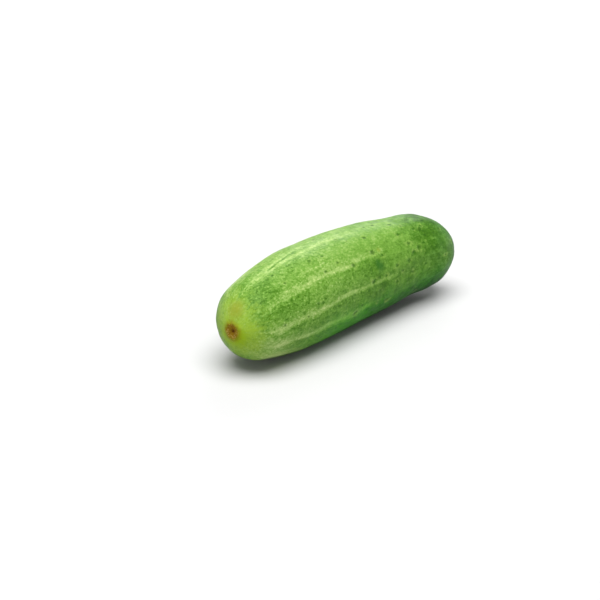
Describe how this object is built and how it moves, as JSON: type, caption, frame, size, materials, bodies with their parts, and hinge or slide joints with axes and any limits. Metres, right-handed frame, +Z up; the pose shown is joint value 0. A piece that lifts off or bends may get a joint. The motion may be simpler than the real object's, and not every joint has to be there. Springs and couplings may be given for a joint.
{
  "type": "cucumber",
  "caption": "Short blunt-ended cucumber with pale stripes, gently bent and lying on its side, with a corky blossom scar at one end and a dry stem scar at the other.",
  "frame": {"origin": "middle of the part's box, on the surface that the cucumber lies on", "axes": "+X from the blossom end towards the stem end, +Z up, and the bend lies flat in XY with its hollow side towards -Y"},
  "size_m": [0.168, 0.0494, 0.0471],
  "materials": {
    "skin": "waxy green cucumber skin with pale yellow-green stripes, satin sheen"
  },
  "bodies": {
    "root": {"cucumber": "skin"}
  },
  "joints": []
}
